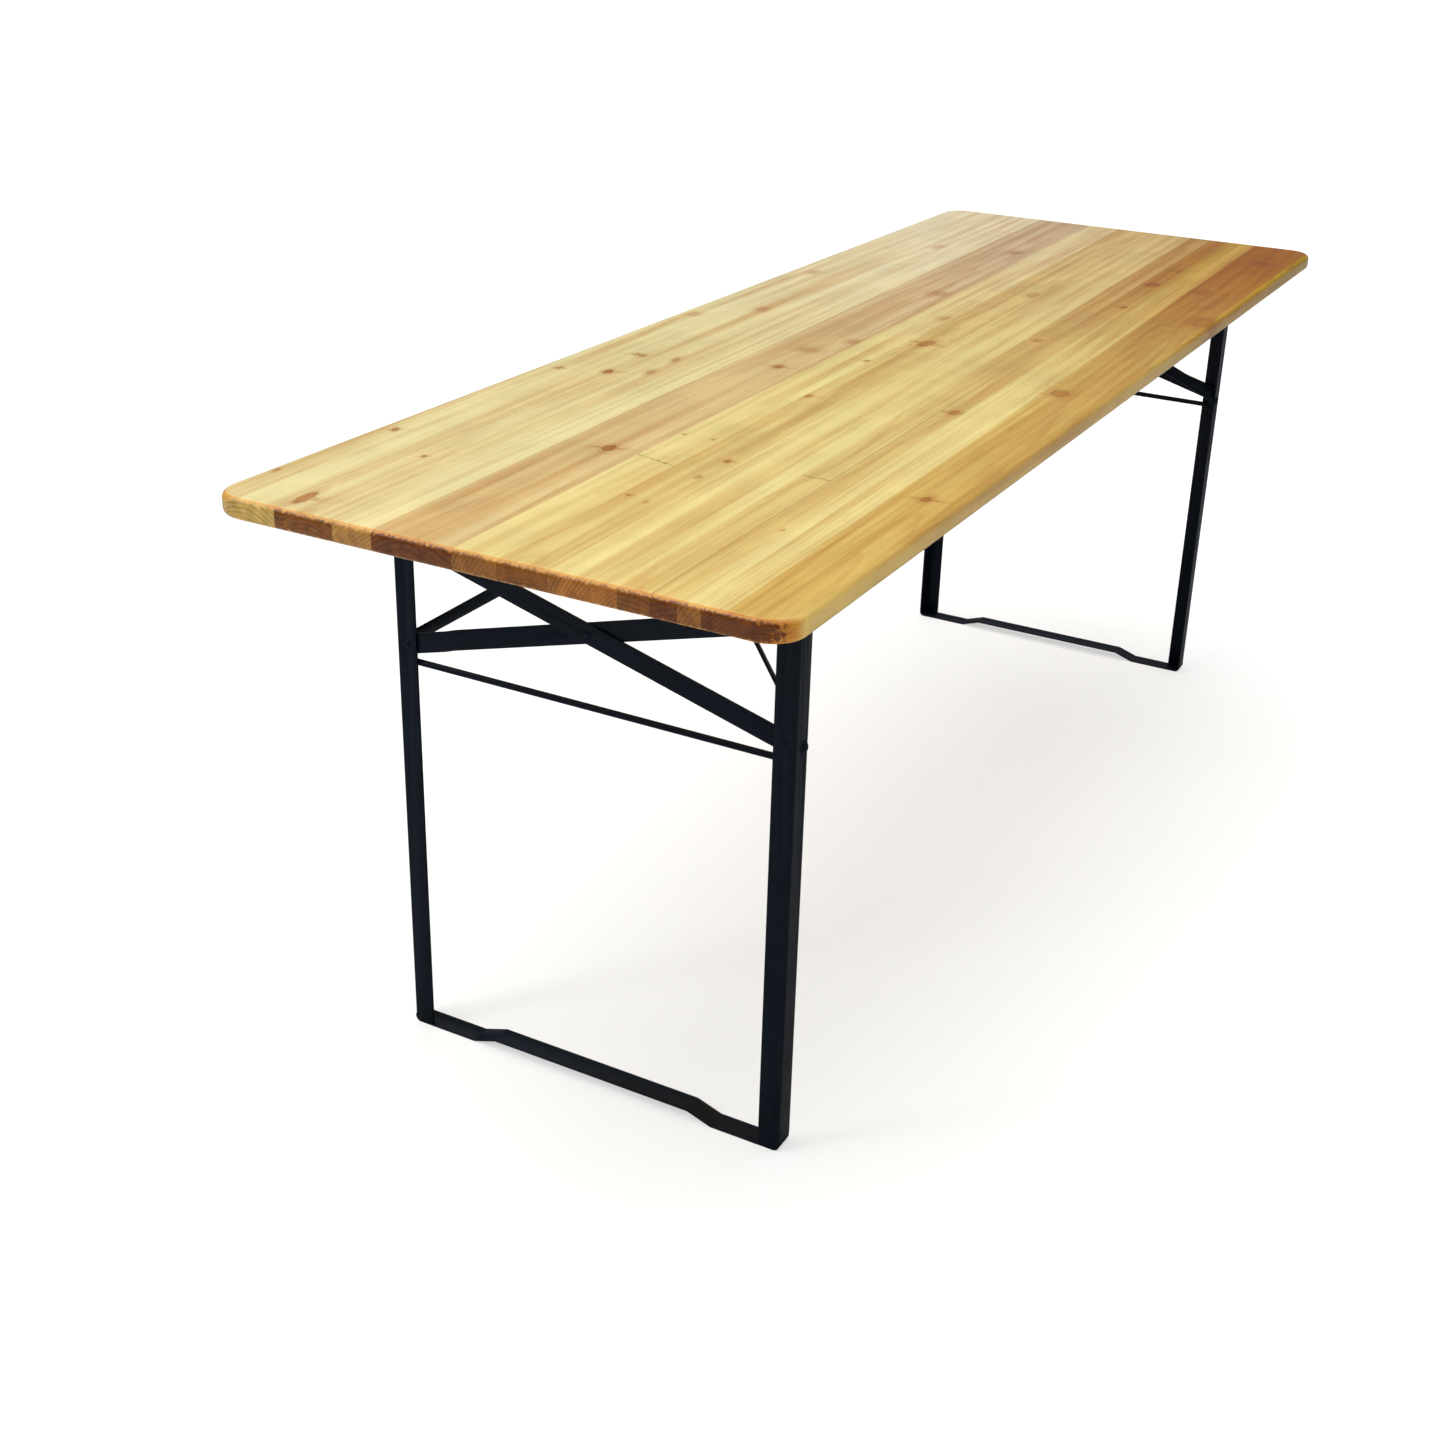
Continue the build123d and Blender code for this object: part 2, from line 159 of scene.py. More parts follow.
floorSide = addNode(floorTree, "NewGeometry")  # clear from below, so the underside can be looked at
floorMix = addNode(floorTree, "MixShader", {
    0: floorSide.outputs["Backfacing"], 1: floorPaint.outputs[0], 2: floorSeeThrough.outputs[0]})
addNode(floorTree, "OutputMaterial", {"Surface": floorMix.outputs[0]})
floorMesh.materials.append(floorMaterial)

world = bpy.data.worlds.new("studio")
world.use_nodes = True
skyTree = world.node_tree
skyTree.nodes.clear()
skyPlace = addNode(skyTree, "TexCoord")
skySplit = addNode(skyTree, "SeparateXYZ", {0: skyPlace.outputs["Generated"]})
skyRise = addNode(skyTree, "MapRange", {
    "Value": skySplit.outputs["Z"], "From Min": 0.4, "From Max": 0.9,
    "To Min": stageLook["horizonStrength"], "To Max": stageLook["skyStrength"]},
        interpolation_type="SMOOTHSTEP")
windowFrom, windowRim, windowCore, windowStrength = stageLook["window"]
skyDirection = addNode(skyTree, "VectorMath", {0: skyPlace.outputs["Generated"]}, operation="NORMALIZE")
windowTurn = addNode(skyTree, "VectorMath", {
    0: skyDirection.outputs[0], 1: Vector(windowFrom).normalized()}, operation="DOT_PRODUCT")
windowGlow = addNode(skyTree, "MapRange", {
    "Value": windowTurn.outputs["Value"], "From Min": windowRim, "From Max": windowCore,
    "To Min": 0.0, "To Max": windowStrength}, interpolation_type="SMOOTHERSTEP")
skyTotal = addNode(skyTree, "Math", {0: skyRise.outputs[0], 1: windowGlow.outputs[0]}, operation="ADD")
skyLight = addNode(skyTree, "Background", {
    "Color": linearColour(stageLook["sky"]), "Strength": skyTotal.outputs[0]})
skyBackdrop = addNode(skyTree, "Background", {"Color": linearColour(stageLook["sky"]), "Strength": 1.0})
skyRay = addNode(skyTree, "LightPath")
skyMix = addNode(skyTree, "MixShader", {
    0: skyRay.outputs["Is Camera Ray"], 1: skyLight.outputs[0], 2: skyBackdrop.outputs[0]})
addNode(skyTree, "OutputWorld", {"Surface": skyMix.outputs[0]})
bpy.context.scene.world = world
bpy.context.scene.view_settings.view_transform = "Standard"

ceilingFrom, ceilingWidth, ceilingStrength = stageLook["ceiling"]
ceilingData = bpy.data.lights.new("softCeiling", "SUN")
ceilingData.energy = ceilingStrength
ceilingData.angle = math.radians(ceilingWidth)
ceiling = bpy.data.objects.new("softCeiling", ceilingData)
ceiling.rotation_euler = Vector(ceilingFrom).to_track_quat("Z", "Y").to_euler()
ceiling.visible_glossy = False
bpy.context.collection.objects.link(ceiling)
for lampName, (place, aim, width, length, watts) in stageLook["lamps"].items():
    lampData = bpy.data.lights.new(lampName, "AREA")
    lampData.energy = watts
    lampData.shape = "RECTANGLE"
    lampData.size = width
    lampData.size_y = length
    lamp = bpy.data.objects.new(lampName, lampData)
    lamp.location = place
    lamp.rotation_euler = (Vector(aim) - Vector(place)).to_track_quat("-Z", "Y").to_euler()
    lamp.visible_camera = False
    lamp.visible_glossy = False  # lamps fill in; the varnish and the coating mirror the room alone
    bpy.context.collection.objects.link(lamp)
print("stage and lights ready")


# Scots pine, edge-glued from eleven staves, planed, sanded and spray-varnished: soft honey bands,
# thin late-wood lines along each stave, dark end grain, and a clear wet-looking gloss on top.
pineLook = {
    "lean": 0.987,          # degrees, the staves run slightly askew to the top
    "lateWood": "#c8904a",
    "flame": "#e3b87c",
    "knotCore": "#9c5c1e",
    "knotRim": "#6a370e",
    "resin": "#cf8a3a",
    "glue": "#6b4320",
    "rolledEdge": "#e8b255",
    "streak": "#dcad6a",
    "endDepth": 0.65,       # how much of its light the soaked end grain keeps
}

# The tones of the staves. Sawn from several trees, they run from creamy sapwood to reddish heartwood; where
# a stave's far tone is darker than its near tone, part of that is painted shade for the light falling off
# towards the far end.
pineTones = {
    "cream": "#cfc38f",
    "butter": "#cfc080",
    "dun": "#c4ac78",
    "tan": "#c7b170",
    "honey": "#c0a45a",
    "ivory": "#ddd1ae",
    "putty": "#c4ae8c",
    "wheat": "#d2be90",
    "sand": "#c9b076",
    "toffee": "#b38c4e",
    "straw": "#bf9c48",
    "amber": "#b08a34",
    "olive": "#a88614",
    "russet": "#a47026",
    "rust": "#9a5e08",
    "spruce": "#d9b981",
    "paleEnd": "#bb9a50",
    "honeyEnd": "#a77839",
    "tanEnd": "#9c6124",
    "brownEnd": "#8c5820",
    "umberEnd": "#7c4912",
    "darkEnd": "#69360b",
    "spruceEnd": "#cd9659",
}

# Tones run from the near end to the far end. The pith is the ring centre, x and z in mm; ring is the
# spacing in mm, grain its contrast and tilt in degrees the slope of the board across the rings. A knot
# is x, y, half width, half length in mm, turn in degrees and strength.
staves = {
    "top_stave_1": {
        "near": "cream", "far": "ivory", "end": "paleEnd",
        "pith": (-330, 690), "ring": 5.0, "grain": 0.05,
        "tilt": 0.5, "knots": [
            (-330, -749, 4, 7, 20, 0.8), (-343, -945, 3, 6, 0, 0.6), (-325, -401, 4, 6, 0, 0.7),
            (-274, -280, 5, 8, 10, 0.7), (-314, 348, 8, 14, 0, 0.25), (-330, -26, 8, 12, 0, 0.25)]},
    "top_stave_2": {
        "near": "cream", "far": "ivory", "end": "umberEnd",
        "pith": (-240, 640), "ring": 6.0, "grain": 0.06,
        "tilt": 0.3, "knots": [
            (-253, -1002, 7, 22, 6, 0.75), (-237, -815, 3, 5, 30, 0.8), (-260, -380, 6, 10, 15, 0.95),
            (-212, -350, 5, 12, 10, 0.5), (-216, -275, 5, 13, 12, 0.55), (-266, -282, 5, 8, 10, 0.6),
            (-259, 63, 9, 14, 10, 0.35), (-225, 675, 9, 16, 0, 0.2)]},
    "top_stave_3": {
        "near": "cream", "far": "ivory", "end": "honeyEnd",
        "pith": (-120, 700), "ring": 4.5, "grain": 0.04,
        "tilt": 0.2, "knots": []},
    "top_stave_4": {
        "near": "dun", "far": "putty", "end": "darkEnd",
        "pith": (-95, 655), "ring": 6.5, "grain": 0.07,
        "tilt": 0.4, "knots": [
            (-77, -670, 8, 11, 10, 0.9), (-81, -227, 6, 9, 0, 0.8), (-56, -42, 9, 12, 0, 0.4),
            (-88, -121, 14, 12, 0, 0.3), (-77, 322, 12, 16, 0, 0.35), (-93, 707, 9, 14, 0, 0.35)]},
    "top_stave_5": {
        "near": "butter", "far": "wheat", "end": "brownEnd",
        "pith": (60, 690), "ring": 5.0, "grain": 0.05,
        "tilt": 0.3, "joint": (-682, 0.276), "knots": [
            (7, -129, 4, 6, 0, 0.7), (0, 169, 9, 12, 0, 0.3), (-31, -572, 2.5, 3, 0, 0.6),
            (9, -572, 2.5, 3, 0, 0.6)]},
    "top_stave_6": {
        "near": "tan", "far": "sand", "end": "umberEnd",
        "pith": (46, 668), "ring": 4.5, "grain": 0.1,
        "tilt": 0.6, "knots": [
            (65, -638, 4, 6, 0, 0.85), (65, -707, 3, 5, 0, 0.5), (32, -804, 2, 4, 0, 0.7),
            (60, -814, 2.5, 4, 0, 0.5), (18, -336, 5, 8, 0, 0.7), (37, 10, 9, 21, -12, 0.7),
            (55, 401, 11, 16, 0, 0.35)]},
    "top_stave_7": {
        "near": "butter", "far": "sand", "end": "tanEnd",
        "pith": (190, 700), "ring": 4.2, "grain": 0.06,
        "tilt": 0.3, "knots": []},
    "top_stave_8": {
        "near": "tan", "far": "toffee", "end": "umberEnd",
        "pith": (160, 640), "ring": 5.0, "grain": 0.07,
        "tilt": 0.3, "joint": (-633, 0.02), "glueLines": [186], "knots": [
            (166, 121, 6, 9, 0, 0.4)]},
    "top_stave_9": {
        "near": "tan", "far": "russet", "end": "darkEnd",
        "pith": (230, 650), "ring": 5.0, "grain": 0.07,
        "tilt": 0.3, "glueLines": [186], "knots": [
            (208, -301, 7, 11, 0, 0.7), (205, 406, 6, 9, 0, 0.75), (192, 596, 9, 15, 0, 0.9),
            (200, 728, 7, 10, 0, 0.7), (227, -814, 2, 3, 0, 0.6)]},
    "top_stave_10": {
        "near": "butter", "far": "amber", "end": "brownEnd",
        "pith": (300, 690), "ring": 4.5, "grain": 0.05,
        "tilt": 0.3, "knots": []},
    "top_stave_11": {
        "near": "honey", "far": "rust", "end": "darkEnd",
        "pith": (318, 668), "ring": 4.0, "grain": 0.11,
        "tilt": 0.7, "sapwood": (268, "butter", "straw"), "outerSap": ("honey", "olive"),
        "knots": [
            (315, -638, 6, 9, 0, 0.85), (292, -137, 12, 17, 10, 0.55), (340, 375, 18, 30, 0, 0.35),
            (303, 876, 12, 14, 0, 0.4), (276, 591, 10, 16, 0, 0.35)]},
}

# Repeats per metre across, along and up the grain, worked out from the real wood.
woodScale = {
    "slow": (9.0, 1.1, 9.0),            # the trunk wavers over 110 mm across and 0.9 m along
    "fibre": (700.0, 9.0, 700.0),       # fibres 1.4 mm wide and 110 mm long
    "streak": (75.0, 1.7, 75.0),        # colour streaks 13 mm wide and 0.6 m long
    "flame": (30.0, 1.3, 30.0),         # broad flames 33 mm wide and 0.8 m long
    "fleck": (420.0, 26.0, 420.0),      # resin flecks 2.4 mm wide and 38 mm long
    "blotch": 11.0,                     # patches 90 mm across where the varnish sank in
    "wander": 230.0,                    # lumps of 4 mm that roughen the outline of a knot
    "soak": 240.0,                      # stain creeps up the rolled edge in steps of 4 mm
    "year": 55.0,                       # strong and weak years alternate every 18 mm
}


def pineMaterial(name, look, varnish):
    material, tree = newMaterial(name)
    place = addNode(tree, "TexCoord")
    point = place.outputs["Object"]
    # grain runs along the leaning stave; the small tilt draws the long arches of a flat-sawn board
    alongGrain = addNode(tree, "Mapping", {
        "Vector": point, "Rotation": (math.radians(look["tilt"]), 0,
            math.radians(-look.get("lean", pineLook["lean"])))})
    grainPoint = alongGrain.outputs[0]

    # knots: smallest distance in knot radii, and the strongest core
    wander = addNode(tree, "TexNoise", {"Vector": point, "Scale": woodScale["wander"], "Detail": 3.0})
    wanderStep = addNode(tree, "VectorMath", {
        0: wander.outputs["Color"], 1: (0.5, 0.5, 0.5)}, operation="SUBTRACT")
    wanderSize = addNode(tree, "VectorMath", {0: wanderStep.outputs[0], "Scale": 0.008}, operation="SCALE")
    roughPoint = addNode(tree, "VectorMath", {0: point, 1: wanderSize.outputs[0]}, operation="ADD")
    nearest, core = None, None
    # a strong knot also throws a thin dark whisker to each side
    whiskers = [(x, y, halfWidth * 2.4, max(halfLength * 0.3, 1.6), turn + 8, strength * 0.55)
                for x, y, halfWidth, halfLength, turn, strength in look["knots"] if strength >= 0.7]
    for x, y, halfWidth, halfLength, turn, strength in look["knots"] + whiskers:
        knotPoint = addNode(tree, "Mapping", {
            "Vector": roughPoint.outputs[0], "Location": (x / 1000, y / 1000, 0.76),
            "Rotation": (0, 0, math.radians(turn)), "Scale": (halfWidth / 1000, halfLength / 1000, 0.12)},
            vector_type="TEXTURE")
        reach = addNode(tree, "VectorMath", {0: knotPoint.outputs[0]}, operation="LENGTH")
        solid = addNode(tree, "MapRange", {
            "Value": reach.outputs["Value"], "From Min": 1.25, "From Max": 0.75, "To Min": 0.0,
                "To Max": strength},
            interpolation_type="SMOOTHSTEP")
        if nearest is None:
            nearest, core = reach.outputs["Value"], solid.outputs[0]
        else:
            nearest = addNode(tree, "Math", {
                0: nearest, 1: reach.outputs["Value"]}, operation="MINIMUM").outputs[0]
            core = addNode(tree, "Math", {0: core, 1: solid.outputs[0]}, operation="MAXIMUM").outputs[0]

    # growth rings round the pith, pushed aside by knots
    pithU, pithW = look["pith"]
    fromPith = addNode(tree, "VectorMath", {
        0: grainPoint, 1: (pithU / 1000, 0, pithW / 1000)}, operation="SUBTRACT")
    acrossOnly = addNode(tree, "VectorMath", {0: fromPith.outputs[0], 1: (1, 0, 1)}, operation="MULTIPLY")
    radius = addNode(tree, "VectorMath", {0: acrossOnly.outputs[0]}, operation="LENGTH").outputs["Value"]
    slowPoint = addNode(tree, "VectorMath", {0: grainPoint, 1: woodScale["slow"]}, operation="MULTIPLY")
    slowWave = addNode(tree, "TexNoise", {"Vector": slowPoint.outputs[0], "Scale": 1.0, "Detail": 2.0})
    radius = addNode(tree, "Math", {
        0: slowWave.outputs["Fac"], 1: 0.030, 2: radius}, operation="MULTIPLY_ADD").outputs[0]
    if nearest is not None:
        push = addNode(tree, "MapRange", {
            "Value": nearest, "From Min": 3.6, "From Max": 0.6, "To Min": 0.0, "To Max": 0.012},
            interpolation_type="SMOOTHERSTEP")
        radius = addNode(tree, "Math", {0: radius, 1: push.outputs[0]}, operation="ADD").outputs[0]
    ringCount = addNode(tree, "Math", {0: radius, 1: look["ring"] / 1000}, operation="DIVIDE")
    ringPhase = addNode(tree, "Math", {0: ringCount.outputs[0]}, operation="FRACT")
    ring = addNode(tree, "ValToRGB", {"Fac": ringPhase.outputs[0]},
                   stops=[(0.0, 0.05), (0.45, 0.12), (0.8, 0.7), (0.92, 1.0), (0.99, 0.1)]).outputs["Color"]
    ringYear = addNode(tree, "TexNoise", {
        "W": radius, "Scale": woodScale["year"], "Detail": 1.0}, noise_dimensions="1D")
    ringDepth = addNode(tree, "MapRange", {
        "Value": ringYear.outputs["Fac"], "From Min": 0.35, "From Max": 0.7, "To Min": 0.25, "To Max": 1.0})
    ring = addNode(tree, "Math", {0: ring, 1: ringDepth.outputs[0]}, operation="MULTIPLY").outputs[0]

    # fibres and broad streaks
    fibrePoint = addNode(tree, "VectorMath", {0: grainPoint, 1: woodScale["fibre"]}, operation="MULTIPLY")
    fibre = addNode(tree, "TexNoise", {
        "Vector": fibrePoint.outputs[0], "Scale": 1.0, "Detail": 3.0}).outputs["Fac"]
    streakPoint = addNode(tree, "VectorMath", {0: grainPoint, 1: woodScale["streak"]}, operation="MULTIPLY")
    streak = addNode(tree, "TexNoise", {
        "Vector": streakPoint.outputs[0], "Scale": 1.0, "Detail": 3.0}).outputs["Fac"]
    blotch = addNode(tree, "TexNoise", {
        "Vector": point, "Scale": woodScale["blotch"], "Detail": 2.0}).outputs["Fac"]

    # base colour blended from the near tone to the far tone, partly painted shade that darkens the far end,
    # with a band of sapwood in the last stave
    split = addNode(tree, "SeparateXYZ", {0: grainPoint})
    lengthWise = addNode(tree, "MapRange", {
        "Value": split.outputs["Y"], "From Min": -0.35, "From Max": 0.9}, interpolation_type="SMOOTHSTEP")
    colour = addNode(tree, "Mix", {
        "Factor": lengthWise.outputs[0], 6: linearColour(pineTones[look["near"]]),
            7: linearColour(pineTones[look["far"]])},
        data_type="RGBA").outputs[2]
    if "sapwood" in look:
        edge, sapNear, sapFar = look["sapwood"]
        sap = addNode(tree, "Mix", {
            "Factor": lengthWise.outputs[0], 6: linearColour(pineTones[sapNear]),
                7: linearColour(pineTones[sapFar])},
            data_type="RGBA").outputs[2]
        sapEdge = addNode(tree, "MapRange", {
            "Value": split.outputs["X"], "From Min": (edge + 3) / 1000, "From Max": (edge - 3) / 1000},
            interpolation_type="SMOOTHSTEP").outputs[0]
        colour = addNode(tree, "Mix", {"Factor": sapEdge, 6: colour, 7: sap}, data_type="RGBA").outputs[2]

    if "outerSap" in look:  # the bark side of the outermost stave
        outerNear, outerFar = look["outerSap"]
        outerX = addNode(tree, "SeparateXYZ", {0: point}).outputs["X"]
        outerX = addNode(tree, "Math", {
            0: slowWave.outputs["Fac"], 1: 0.012, 2: outerX}, operation="MULTIPLY_ADD").outputs[0]
        outer = addNode(tree, "Mix", {
            "Factor": lengthWise.outputs[0], 6: linearColour(pineTones[outerNear]),
                7: linearColour(pineTones[outerFar])},
            data_type="RGBA").outputs[2]
        outerEdge = addNode(tree, "MapRange", {"Value": outerX, "From Min": 0.3515, "From Max": 0.356},
                            interpolation_type="SMOOTHSTEP").outputs[0]
        colour = addNode(tree, "Mix", {
            "Factor": outerEdge, 6: colour, 7: outer}, data_type="RGBA").outputs[2]

    ringShade = addNode(tree, "Math", {0: ring, 1: look["grain"] * 3.2}, operation="MULTIPLY")
    colour = addNode(tree, "Mix", {
        "Factor": ringShade.outputs[0], 6: colour, 7: linearColour(pineLook["lateWood"])},
        data_type="RGBA", blend_type="MULTIPLY").outputs[2]
    flamePoint = addNode(tree, "VectorMath", {0: grainPoint, 1: woodScale["flame"]}, operation="MULTIPLY")
    flame = addNode(tree, "TexNoise", {
        "Vector": flamePoint.outputs[0], "Scale": 1.0, "Detail": 4.0, "Distortion": 0.6})
    flameLevel = addNode(tree, "MapRange", {
        "Value": flame.outputs["Fac"], "From Min": 0.45, "From Max": 0.75, "To Min": 0.0, "To Max": 0.42})
    colour = addNode(tree, "Mix", {
        "Factor": flameLevel.outputs[0], 6: colour, 7: linearColour(pineLook["flame"])},
        data_type="RGBA", blend_type="MULTIPLY").outputs[2]
    fleckPoint = addNode(tree, "VectorMath", {0: grainPoint, 1: woodScale["fleck"]}, operation="MULTIPLY")
    fleck = addNode(tree, "TexNoise", {"Vector": fleckPoint.outputs[0], "Scale": 1.0, "Detail": 1.0})
    fleckLevel = addNode(tree, "MapRange", {
        "Value": fleck.outputs["Fac"], "From Min": 0.70, "From Max": 0.80, "To Min": 0.0, "To Max": 0.35})
    colour = addNode(tree, "Mix", {
        "Factor": fleckLevel.outputs[0], 6: colour, 7: linearColour(pineLook["resin"])},
        data_type="RGBA", blend_type="MULTIPLY").outputs[2]
    streakLevel = addNode(tree, "MapRange", {
        "Value": streak, "From Min": 0.58, "From Max": 0.28, "To Min": 0.0, "To Max": 0.5})
    colour = addNode(tree, "Mix", {
        "Factor": streakLevel.outputs[0], 6: colour, 7: linearColour(pineLook["streak"])},
        data_type="RGBA", blend_type="MULTIPLY").outputs[2]
    for pattern, low, high in ((streak, 1.0, 1.10), (fibre, 0.96, 1.04), (blotch, 0.94, 1.06)):
        level = addNode(tree, "MapRange", {
            "Value": pattern, "From Min": 0.3, "From Max": 0.7, "To Min": low, "To Max": high})
        colour = addNode(tree, "VectorMath", {
            0: colour, "Scale": level.outputs[0]}, operation="SCALE").outputs[0]

    if nearest is not None:
        halo = addNode(tree, "MapRange", {
            "Value": nearest, "From Min": 2.6, "From Max": 0.8, "To Min": 0.0, "To Max": 0.45},
            interpolation_type="SMOOTHSTEP")
        haloDepth = addNode(tree, "Math", {0: halo.outputs[0], 1: core}, operation="MAXIMUM")
        haloShade = addNode(tree, "Math", {0: haloDepth.outputs[0], 1: 0.6}, operation="MULTIPLY")
        colour = addNode(tree, "Mix", {
            "Factor": haloShade.outputs[0], 6: colour, 7: linearColour(pineLook["resin"])},
            data_type="RGBA", blend_type="MULTIPLY").outputs[2]
        rim = addNode(tree, "MapRange", {
            "Value": nearest, "From Min": 0.45, "From Max": 0.95, "To Min": 0.0, "To Max": 1.0})
        knotColour = addNode(tree, "Mix", {
            "Factor": rim.outputs[0], 6: linearColour(pineLook["knotCore"]),
                7: linearColour(pineLook["knotRim"])},
            data_type="RGBA").outputs[2]
        knotLevel = addNode(tree, "Math", {0: core, 1: 0.85}, operation="MULTIPLY")
        colour = addNode(tree, "Mix", {
            "Factor": knotLevel.outputs[0], 6: colour, 7: knotColour}, data_type="RGBA").outputs[2]

    # butt joint across a stave, and the glue line along its edge
    if "joint" in look:
        jointY, jointSlope = look["joint"]
        spot = addNode(tree, "SeparateXYZ", {0: roughPoint.outputs[0]})
        slanted = addNode(tree, "Math", {
            0: spot.outputs["X"], 1: jointSlope, 2: spot.outputs["Y"]}, operation="MULTIPLY_ADD")
        offJoint = addNode(tree, "Math", {
            0: slanted.outputs[0], 1: jointY / 1000, 2: 0.0012}, operation="COMPARE")
        jointShade = addNode(tree, "Math", {0: offJoint.outputs[0], 1: 0.55}, operation="MULTIPLY")
        colour = addNode(tree, "Mix", {
            "Factor": jointShade.outputs[0], 6: colour, 7: linearColour(pineLook["glue"])},
                data_type="RGBA").outputs[2]
    for seam in look.get("glueLines", []):
        offSeam = addNode(tree, "Math", {
            0: split.outputs["X"], 1: seam / 1000, 2: 0.0007}, operation="COMPARE")
        seamShade = addNode(tree, "Math", {0: offSeam.outputs[0], 1: streak}, operation="MULTIPLY")
        colour = addNode(tree, "Mix", {
            "Factor": seamShade.outputs[0], 6: colour, 7: linearColour(pineLook["glue"])},
                data_type="RGBA").outputs[2]

    # end grain: drinks the varnish and turns dark, lighter where the edge rolls over
    facing = addNode(tree, "SeparateXYZ", {0: place.outputs["Normal"]})
    endFacing = addNode(tree, "Math", {0: facing.outputs["Y"]}, operation="ABSOLUTE")
    soak = addNode(tree, "TexNoise", {
        "Vector": point, "Scale": woodScale["soak"], "Detail": 3.0}).outputs["Fac"]
    soaked = addNode(tree, "Math", {0: soak, 1: 0.9, 2: endFacing.outputs[0]}, operation="MULTIPLY_ADD")
    endMask = addNode(tree, "MapRange", {"Value": soaked.outputs[0], "From Min": 1.02, "From Max": 1.32},
                      interpolation_type="SMOOTHSTEP").outputs[0]
    rollMask = addNode(tree, "MapRange", {
        "Value": endFacing.outputs[0], "From Min": 0.1, "From Max": 0.5, "To Max": 0.9},
        interpolation_type="SMOOTHSTEP").outputs[0]
    colour = addNode(tree, "Mix", {
        "Factor": rollMask, 6: colour, 7: linearColour(pineLook["rolledEdge"])},
        data_type="RGBA", blend_type="MULTIPLY").outputs[2]
    endRing = addNode(tree, "MapRange", {
        "Value": ring, "To Min": 1.2 * pineLook["endDepth"], "To Max": 0.45 * pineLook["endDepth"]})
    endColour = addNode(tree, "VectorMath", {
        0: linearColour(pineTones[look["end"]])[:3], "Scale": endRing.outputs[0]},
                        operation="SCALE").outputs[0]
    endSpots = addNode(tree, "MapRange", {
        "Value": streak, "From Min": 0.3, "From Max": 0.7, "To Min": 0.75, "To Max": 1.3})
    endColour = addNode(tree, "VectorMath", {
        0: endColour, "Scale": endSpots.outputs[0]}, operation="SCALE").outputs[0]
    colour = addNode(tree, "Mix", {"Factor": endMask, 6: colour, 7: endColour}, data_type="RGBA").outputs[2]

    height = addNode(tree, "Math", {0: fibre, 1: 0.35, 2: ring}, operation="MULTIPLY_ADD")
    bump = addNode(tree, "Bump", {
        "Height": height.outputs[0], "Strength": varnish["bump"], "Distance": 0.0002})
    rough = addNode(tree, "MapRange", {
        "Value": fibre, "To Min": varnish["roughness"] - 0.06, "To Max": varnish["roughness"] + 0.06})
    surface = addNode(tree, "BsdfPrincipled", {
        "Base Color": colour, "Roughness": rough.outputs[0], "Normal": bump.outputs[0],
        "Coat Weight": varnish["coat"], "Coat Roughness": varnish["coatRoughness"],
        "IOR": 1.5, "Specular IOR Level": varnish["underSheen"]})
    addNode(tree, "OutputMaterial", {"Surface": surface.outputs[0]})
    return material


topVarnish = {"roughness": 0.5, "coat": 0.9, "coatRoughness": 0.07, "bump": 0.12, "underSheen": 0.06}
for staveName, look in staves.items():
    nodes[staveName].data.materials.clear()
    nodes[staveName].data.materials.append(pineMaterial("varnishedPine." + staveName[4:], look, topVarnish))
print("pine top finished")


# Planed spruce battens under the top, one thin coat of varnish: paler and duller than the top.
battenLook = {
    "near": "spruce", "far": "spruce", "end": "spruceEnd", "ring": 5.5, "grain": 0.16, "tilt": 0.5,
        "lean": 90.0}
battenVarnish = {"roughness": 0.5, "coat": 0.25, "coatRoughness": 0.25, "bump": 0.2, "underSheen": 0.4}
for battenName, pithY, knots in (
        ("near_batten", -0.99, [(-120, -950, 8, 6, 0, 0.8)]),
        ("middle_batten", 0.01, [(190, 12, 9, 6, 0, 0.8)]),
        ("far_batten", 0.93, [(60, 960, 8, 6, 0, 0.7)])):
    look = dict(battenLook, knots=knots, pith=(pithY * 1000, 690))
    nodes[battenName].data.materials.clear()
    nodes[battenName].data.materials.append(pineMaterial("planedSpruce." + battenName, look, battenVarnish))
print("battens finished")


# Mild steel angle and flat bar, welded and powder coated blue-black: even, semi-gloss, faint orange peel.
steelLook = {
    "colour": "#040d19", "roughness": 0.36, "sheen": 0.18,
    "grit": 1100.0,     # orange peel of 0.9 mm
    "cloud": 14.0,      # coating thickness drifts over 70 mm
}


def coatedSteel(name, look):
    material, tree = newMaterial(name)
    point = addNode(tree, "TexCoord").outputs["Object"]
    peel = addNode(tree, "TexNoise", {"Vector": point, "Scale": look["grit"], "Detail": 2.0}).outputs["Fac"]
    cloud = addNode(tree, "TexNoise", {
        "Vector": point, "Scale": look["cloud"], "Detail": 4.0}).outputs["Fac"]
    tint = addNode(tree, "MapRange", {
        "Value": cloud, "From Min": 0.3, "From Max": 0.7, "To Min": 0.8, "To Max": 1.25})
    colour = addNode(tree, "VectorMath", {
        0: linearColour(look["colour"])[:3], "Scale": tint.outputs[0]}, operation="SCALE")
    rough = addNode(tree, "MapRange", {
        "Value": cloud, "From Min": 0.3, "From Max": 0.7,
        "To Min": look["roughness"] - 0.07, "To Max": look["roughness"] + 0.08})
    bump = addNode(tree, "Bump", {"Height": peel, "Strength": 0.12, "Distance": 0.0002})
    surface = addNode(tree, "BsdfPrincipled", {
        "Base Color": colour.outputs[0], "Roughness": rough.outputs[0], "Normal": bump.outputs[0],
        "IOR": 1.5, "Specular IOR Level": look["sheen"]})
    addNode(tree, "OutputMaterial", {"Surface": surface.outputs[0]})
    return material


